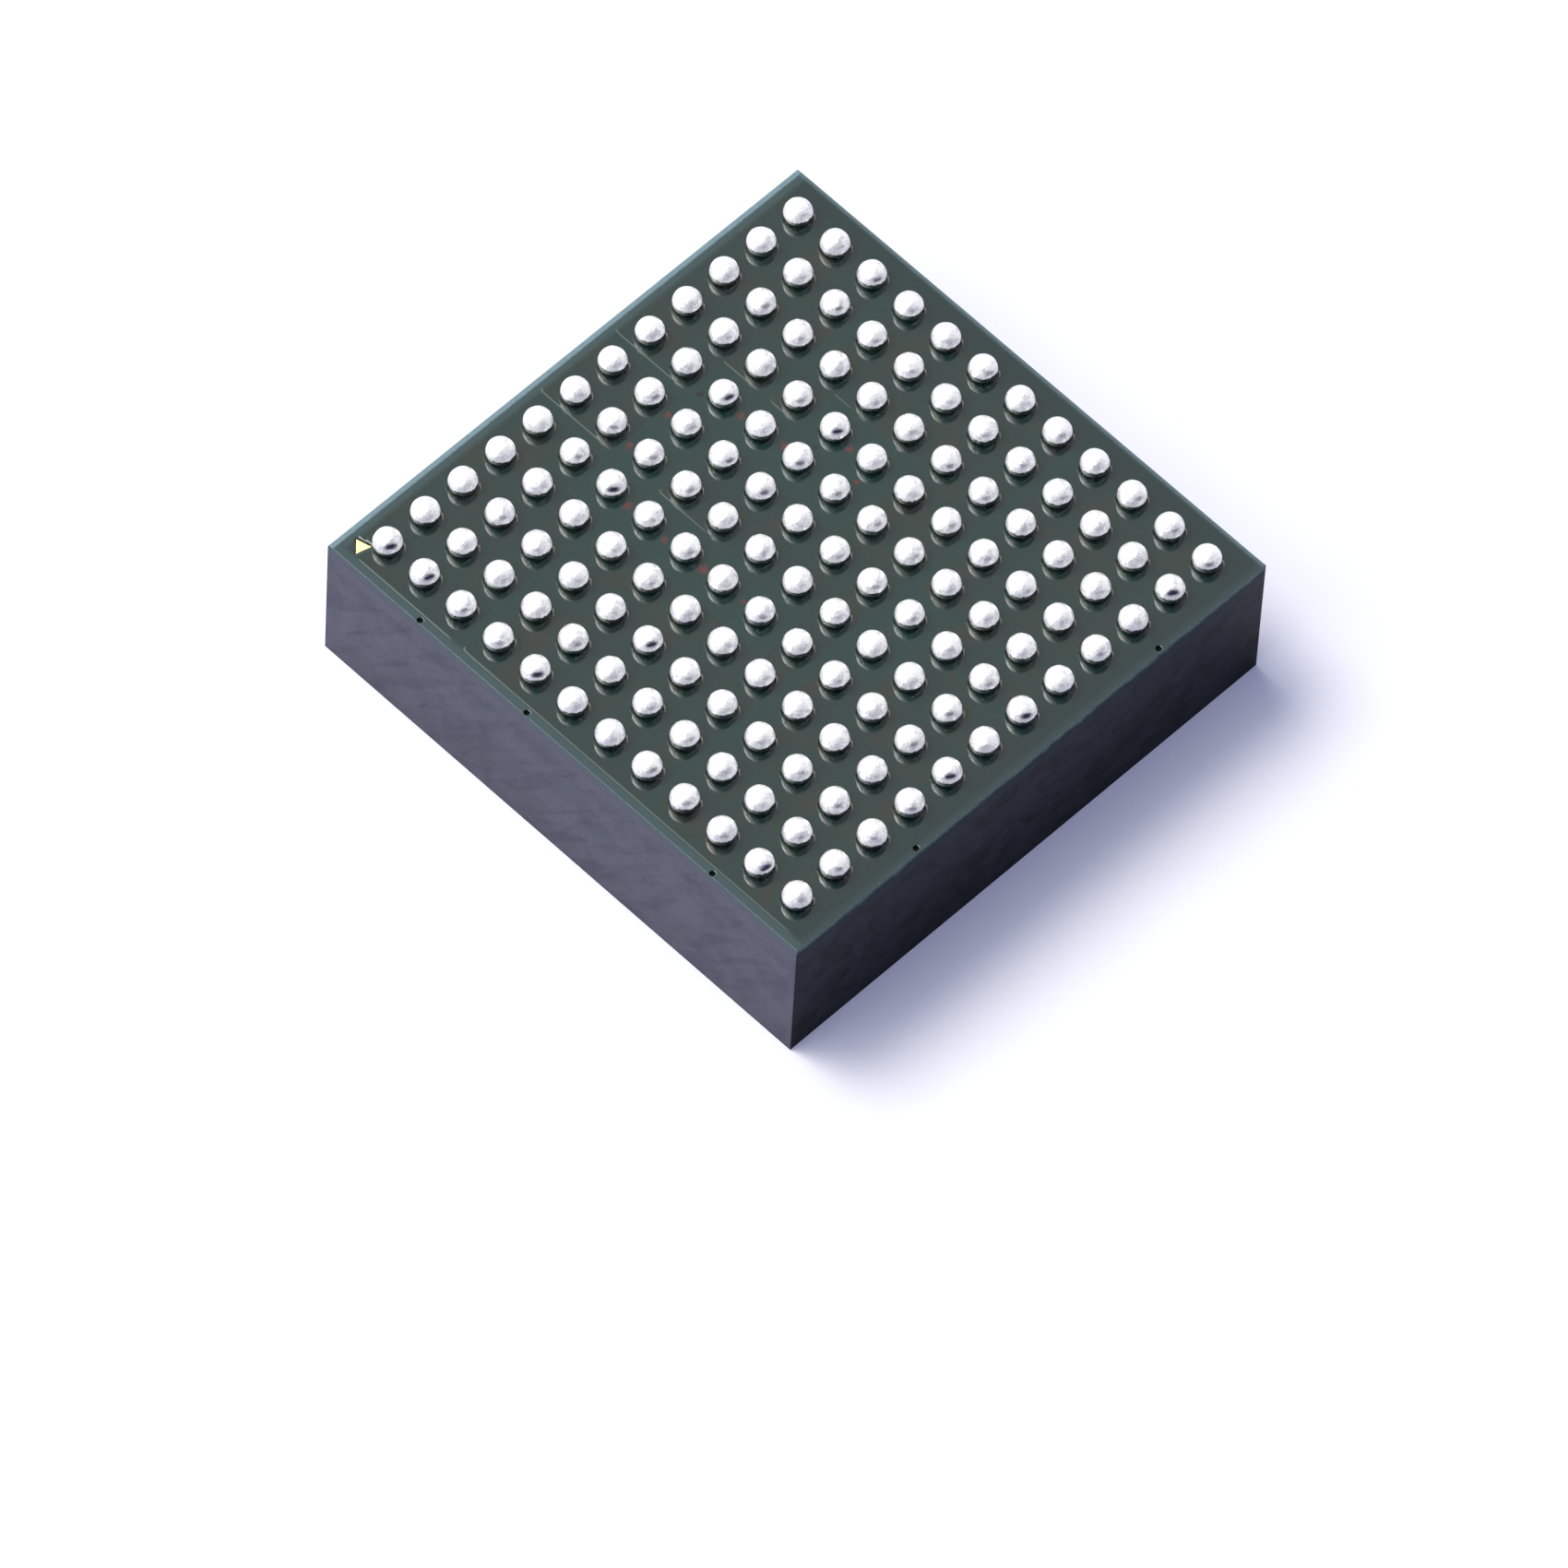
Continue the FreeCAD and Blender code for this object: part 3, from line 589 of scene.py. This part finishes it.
def dented_balls(row, letter):
    """One row of balls as one piece, each ball with its own lumps, dent and border."""
    points, faces, looks = [], [], []
    for column in range(1, BALL_COLUMNS + 1):
        draws = np.random.default_rng(FIRST_SEED + row * SEEDS_PER_ROW + column)
        plain = draws.uniform(*PLAIN_DENT)
        surface, look = ball_surface(draws, DENTS.get(f"{letter}{column}", plain))
        faces += [part + len(points) * len(surface) for part in ball_faces()]
        points.append(surface + [ball_x(column), ball_y(row), BALL_MIDDLE])
        looks.append(look)
    attributes = {key: np.concatenate([look[key] for look in looks]) for key in looks[0]}
    new_piece(f"dented_balls_row_{letter}", f"solder_balls_row_{letter}", np.vstack(points), faces,
              "solder", attributes)


for row, letter in enumerate(ROW_LETTERS):
    dented_balls(row, letter)


# Solder mask: distances are positive outside a shape and negative inside it

def mark_middle():
    """Middle of the gold mark, back from ball A1 along the mark's heading."""
    heading = math.radians(MARK_HEADING)
    reach = LAND_RADIUS + MARK_TO_LAND + MARK_RADIUS
    return ball_x(1) - reach * math.cos(heading), ball_y(0) - reach * math.sin(heading)


def ball_cell(ball):
    return ROW_LETTERS.index(ball[0]), int(ball[1:])


def pour_rectangle(block):
    """Left, right, front and back sides of a pour over one block of balls."""
    half_cell, limit = (BALL_PITCH - POUR_GAP) / 2, EDGE - POUR_MARGIN
    (top, first), (bottom, last) = ball_cell(block[0]), ball_cell(block[1])
    left = -limit if first == 1 else ball_x(first) - half_cell
    right = limit if last == BALL_COLUMNS else ball_x(last) + half_cell
    back = limit if top == 0 else ball_y(top) + half_cell
    front = -limit if bottom == len(ROW_LETTERS) - 1 else ball_y(bottom) - half_cell
    return left, right, front, back


def beyond_rectangle(x, y, sides, corner):
    """Distance outside a rectangle with round corners."""
    left, right, front, back = sides
    across = np.abs(x - (left + right) / 2) - (right - left) / 2 + corner
    along = np.abs(y - (front + back) / 2) - (back - front) / 2 + corner
    outside = np.hypot(np.maximum(across, 0), np.maximum(along, 0))
    return outside + np.minimum(np.maximum(across, along), 0) - corner


def beyond_disc(x, y, middle, radius):
    return np.hypot(x - middle[0], y - middle[1]) - radius


def beyond_pours(x, y):
    """Distance outside the copper pours, which are cleared round the corner mark."""
    pours = np.min([beyond_rectangle(x, y, pour_rectangle(block), POUR_CORNER) for block in POUR_BLOCKS], 0)
    return np.maximum(pours, -beyond_disc(x, y, mark_middle(), MARK_RADIUS + MARK_POUR_ROOM))


def beyond_balls(x, y, radius):
    """Distance outside the nearest of the discs that lie under the balls, 1 beyond the outer cells."""
    across, along = ((np.mod(place / BALL_PITCH, 1) - 0.5) * BALL_PITCH for place in (x, y))
    inner = np.maximum(np.abs(x), np.abs(y)) < BALL_PITCH * BALL_COLUMNS / 2
    return np.where(inner, np.hypot(across, along) - radius, 1.0)


def beyond_mark(x, y, radius):
    """Distance outside a triangle on the corner mark, whose corners lie at radius from its middle."""
    middle = mark_middle()
    turns = [math.radians(MARK_HEADING + 60 + third * 120) for third in range(3)]
    return np.max([(x - middle[0]) * math.cos(t) + (y - middle[1]) * math.sin(t) - radius / 2
                   for t in turns], 0)


def beyond_openings(x, y):
    """Distance outside every opening of the mask."""
    spots = [(SPOT_LINE, along) for along in SPOTS_ALONG_Y] + [(along, SPOT_LINE) for along in SPOTS_ALONG_X]
    apart = [beyond_balls(x, y, OPENING_RADIUS), beyond_mark(x, y, MARK_RADIUS + MARK_OPENING)]
    return np.min(apart + [beyond_disc(x, y, spot, SPOT_RADIUS) for spot in spots], 0)


# Lines of the grid: how many there are to a ball cell, insets from the sides, and places round the rest
LINES_PER_BALL = 10
SIDE_INSETS = 0.0, 0.012, 0.024, 0.036, 0.14
POUR_EDGE_LINES = -0.028, -0.019, -0.009, 0.0, 0.009, 0.019, 0.028
SPOT_LINES = np.linspace(-0.10, 0.10, 7)
MARK_LINES = np.linspace(-0.32, 0.32, 11)
LEAST_LINE_GAP = 0.008

# Step outside each pour edge: low in front, full at the back, and between the two near the x sides
STEP_DROP = 0.004
STEP_WIDTH = 0.028
LOW_STEP = 0.3
SIDE_STEP, SIDE_STEP_BEYOND = 0.4, 7.5
FULL_STEP_RISE, FULL_STEP_FROM, FULL_STEP_OVER = 0.7, 1.5, 1.5
NO_STEP_IN_FRONT_OF = -7.6
STRAIGHT_STEP_X, STRAIGHT_STEP_Y = -7.4, 1.0
LAND_SLOPE = 0.03
COPPER_CLEARANCE = 0.0005
COPPER_TINT_WIDTH = 0.06

# Rounding at the saw cut
ROUND_WIDTH = 0.036
ROUND_DROP = 0.022
FRONT_ROUND_BEFORE, FRONT_ROUND_SHARE = -7.96, 0.35

# Newton steps onto an opening's outline, and how far apart its slope is measured
OUTLINE_STEPS = 4
PROBE = 1e-4

# Stains: x, y and size
RUST = (
    (-1.95, 3.83, 0.31), (-2.00, 2.52, 0.26), (-1.93, 1.27, 0.33), (-1.88, -0.05, 0.22), (-0.70, 5.05, 0.28),
    (0.60, 5.05, 0.24), (1.87, 3.80, 0.26), (2.00, 2.45, 0.29), (3.10, 1.30, 0.26), (2.55, 0.50, 0.22),
    (0.0, -3.10, 0.18),
)
SOOT = ((1.60, 4.95, 0.24), (2.55, 1.90, 0.16), (0.0, -3.08, 0.14), (5.2, -0.75, 0.12))


def stains(x, y, spots):
    """1 at the middle of each stain, falling in a straight line to 0 at its edge."""
    return np.max([np.clip(1 - np.hypot(x - x0, y - y0) / size, 0, 1) for x0, y0, size in spots], 0)


def grid_lines(edges, spots, mark):
    """Sorted line places: even ones over the ball cells, more at pour edges, bare spots, mark and sides."""
    reach = LINES_PER_BALL * BALL_COLUMNS // 2
    lines = list(np.arange(-reach, reach + 1) * BALL_PITCH / LINES_PER_BALL)
    lines += [side * (EDGE - inset) for inset in SIDE_INSETS for side in (-1, 1)]
    lines += [edge + step for edge in edges for step in POUR_EDGE_LINES]
    lines += [spot + step for spot in spots for step in SPOT_LINES]
    lines += [mark + step for step in MARK_LINES]
    lines = np.unique(np.round(np.clip(lines, -EDGE, EDGE), 4))
    kept = [lines[0]]
    for line in lines[1:]:
        if line - kept[-1] > LEAST_LINE_GAP or line == lines[-1]:
            kept.append(line)
    return np.array(kept)


def mask_grid():
    """Points x and y of the grid and its quads, without those whose middle lies in an opening."""
    sides = [pour_rectangle(block) for block in POUR_BLOCKS]
    x_edges, y_edges = (sorted({round(v, 3) for s in sides for v in s[half:half + 2]}) for half in (0, 2))
    middle = mark_middle()
    xs = grid_lines(x_edges, [SPOT_LINE, *SPOTS_ALONG_X], middle[0])
    ys = grid_lines(y_edges, [SPOT_LINE, *SPOTS_ALONG_Y], middle[1])
    x, y = (grid.ravel() for grid in np.meshgrid(xs, ys, indexing="ij"))
    index = np.arange(len(x)).reshape(len(xs), len(ys))
    quads = np.stack([index[:-1, :-1], index[1:, :-1], index[1:, 1:], index[:-1, 1:]], -1).reshape(-1, 4)
    return x, y, quads[beyond_openings(x[quads].mean(1), y[quads].mean(1)) > 0]


def rim_of(quads, count):
    """Start points and end points of the edges that only one quad has, among count points."""
    starts, ends = quads.ravel(), np.roll(quads, -1, 1).ravel()
    keys = np.minimum(starts, ends) * count + np.maximum(starts, ends)
    _, first, uses = np.unique(keys, return_index=True, return_counts=True)
    single = first[uses == 1]
    return starts[single], ends[single]


def move_to_outline(x, y, points):
    """Moves some points along the slope of the distance from the openings, until that distance is 0."""
    for _ in range(OUTLINE_STEPS):
        px, py = x[points], y[points]
        away = beyond_openings(px, py)
        slope_x = beyond_openings(px + PROBE, py) - beyond_openings(px - PROBE, py)
        slope_y = beyond_openings(px, py + PROBE) - beyond_openings(px, py - PROBE)
        length = np.maximum(np.hypot(slope_x, slope_y), 1e-9)
        x[points] -= away * slope_x / length
        y[points] -= away * slope_y / length


def mask_top(x, y):
    """Board's top, less a step of S shape outside each pour edge, less a quarter round at the saw cut.

    Along the front half of the -X side the step is one straight line, where the pours' gaps don't show.
    """
    straight = (x < STRAIGHT_STEP_X) & (y < STRAIGHT_STEP_Y)
    away = np.where(straight, POUR_MARGIN - EDGE - x, beyond_pours(x, y))
    fall = np.clip(away / STEP_WIDTH, 0, 1)
    fall = fall * fall * (3 - 2 * fall)
    at_back = FULL_STEP_RISE * np.clip((y - FULL_STEP_FROM) / FULL_STEP_OVER, 0, 1)
    at_side = SIDE_STEP * (np.abs(x) > SIDE_STEP_BEYOND)
    share = (LOW_STEP + np.maximum(at_back, at_side)) * (y > NO_STEP_IN_FRONT_OF)
    to_edge = EDGE - np.maximum(np.abs(x), np.abs(y))
    rounding = 1 - np.sqrt(1 - np.clip(1 - to_edge / ROUND_WIDTH, 0, 1) ** 2)
    rounding = rounding * np.where(y < FRONT_ROUND_BEFORE, FRONT_ROUND_SHARE, 1.0)
    return BOARD_TOP - STEP_DROP * fall * share - ROUND_DROP * rounding


def mask_relief():
    """Mask sheet: a grid of lines in x and y with a top, an under side and walls along its rim.

    The rim points round each opening move onto its outline. The under side keeps just above the copper's
    own height over copper and above the laminate's elsewhere.
    """
    x, y, quads = mask_grid()
    rim_starts, rim_ends = rim_of(quads, len(x))
    rim = np.unique(rim_starts)
    move_to_outline(x, y, rim[np.maximum(np.abs(x[rim]), np.abs(y[rim])) < EDGE - 1e-6])
    used, quads = np.unique(quads, return_inverse=True)
    quads = quads.reshape(-1, 4)
    rim_starts, rim_ends = np.searchsorted(used, rim_starts), np.searchsorted(used, rim_ends)
    x, y = x[used], y[used]
    away = np.minimum(beyond_pours(x, y), beyond_balls(x, y, LAND_RADIUS))
    under = COPPER_FOOT + (LAND_TOP - COPPER_FOOT) * np.clip(1 - away / LAND_SLOPE, 0, 1) + COPPER_CLEARANCE
    points = np.concatenate([np.stack([x, y, mask_top(x, y)], -1), np.stack([x, y, under], -1)])
    count = len(used)
    walls = np.stack([rim_ends, rim_starts, rim_starts + count, rim_ends + count], -1)
    looks = {"over_copper": np.clip(0.5 - away / COPPER_TINT_WIDTH, 0, 1),
             "rust": stains(x, y, RUST), "soot": stains(x, y, SOOT)}
    new_piece("mask_relief", "ball_side_solder_mask", points, [quads, quads[:, ::-1] + count, walls],
              "solder_mask", {key: np.tile(values, 2) for key, values in looks.items()}, len(walls))


mask_relief()


# Studio: headings are degrees from +X towards +Y and degrees up, and lamps stand in metres

FLOOR_SEGMENTS = 96
FLOOR_RADII = 60.0, 400.0, 3000.0
FLOOR_DROP = 0.002
FLOOR_TONES = (0.91, 0.91, 0.91), (0.93, 0.93, 0.93)
FLOOR_GLOW = (0.1206, 0.1296, 0.18)
FILL_LIGHT = (0.097, 0.112, 0.265)
ROOM_WHITE = (0.95, 0.95, 0.95)
ROOM_GREY = (0.34, 0.35, 0.41)
# Heading of the room's greyest place, and the cosines from it between which white turns to grey
GREY_HEADING = 235, 14
GREY_COSINES = 0.10, 0.90
LAMP_COLOUR = (1.0, 0.99, 0.93)
LAMP_DISTANCE = 0.40
# Azimuth, elevation, half of the angle it fills, and level
LAMPS = {
    "left_window": (146, 55, 27, 0.38),
    "right_window": (88, 56, 18, 0.22),
    "key_lamp": (110, 63, 14, 0.38),
}


def pale_floor():
    """Round white floor. What looks at it sees a little more white than it gives back as light."""
    turn = np.arange(FLOOR_SEGMENTS) * 2 * np.pi / FLOOR_SEGMENTS
    circle = np.stack([np.cos(turn), np.sin(turn), 0 * turn], -1)
    points = np.vstack([[[0, 0, 0]], *[radius * circle for radius in FLOOR_RADII]]) - [0, 0, FLOOR_DROP]
    floor = new_mesh("floor", points, round_faces(FLOOR_SEGMENTS, len(FLOOR_RADII) - 1))
    r = recipe("pale_floor")
    white = r.add("ShaderNodeBsdfDiffuse", {}, {"Color": r.blend(r.grain(3.0, 2.0, 0.5), *FLOOR_TONES)})
    glow = r.add("ShaderNodeEmission", {}, {"Color": r.blend(r.seen(), (0, 0, 0), FLOOR_GLOW)})
    floor.data.materials.append(r.shown(r.add("ShaderNodeAddShader", {}, (white, glow))))


def heading(azimuth, elevation):
    azimuth, elevation = math.radians(azimuth), math.radians(elevation)
    return Vector((math.cos(azimuth) * math.cos(elevation), math.sin(azimuth) * math.cos(elevation),
                   math.sin(elevation)))


def softbox(name, azimuth, elevation, half_angle, level):
    """Round lamp that faces the module. A white level surface sends back level times white under it alone."""
    radius = LAMP_DISTANCE * math.tan(math.radians(half_angle))
    data = bpy.data.lights.new(name, "AREA")
    data.shape = "DISK"
    data.size = 2 * radius
    reach = LAMP_DISTANCE ** 2 + radius ** 2
    data.energy = level * math.pi ** 2 * reach / math.sin(math.radians(elevation))
    data.color = LAMP_COLOUR
    lamp = bpy.data.objects.new(name, data)
    way = heading(azimuth, elevation)
    turn = way.to_track_quat("Z", "Y").to_matrix().to_4x4()
    lamp.matrix_world = Matrix.Translation(way * LAMP_DISTANCE) @ turn
    bpy.context.scene.collection.objects.link(lamp)


def room():
    """Bluish fill light. Where it is looked at, a pale room: white behind and above, grey low in front."""
    world = bpy.data.worlds.new("room")
    bpy.context.scene.world = world
    r = Recipe(world, "Generated")
    front = r.add("ShaderNodeVectorMath", {"operation": "DOT_PRODUCT"},
                  (r.look, heading(*GREY_HEADING)), "Value")
    walls = r.blend(front.ramp(*GREY_COSINES), ROOM_WHITE, ROOM_GREY)
    fill = r.add("ShaderNodeBackground", {}, {"Color": (*FILL_LIGHT, 1.0)})
    pale = r.add("ShaderNodeBackground", {}, {"Color": walls})
    r.shown(r.layered(r.seen(), fill, pale), "World")


pale_floor()
room()
for name, place in LAMPS.items():
    softbox(name, *place)
bpy.context.scene.view_settings.view_transform = "Standard"
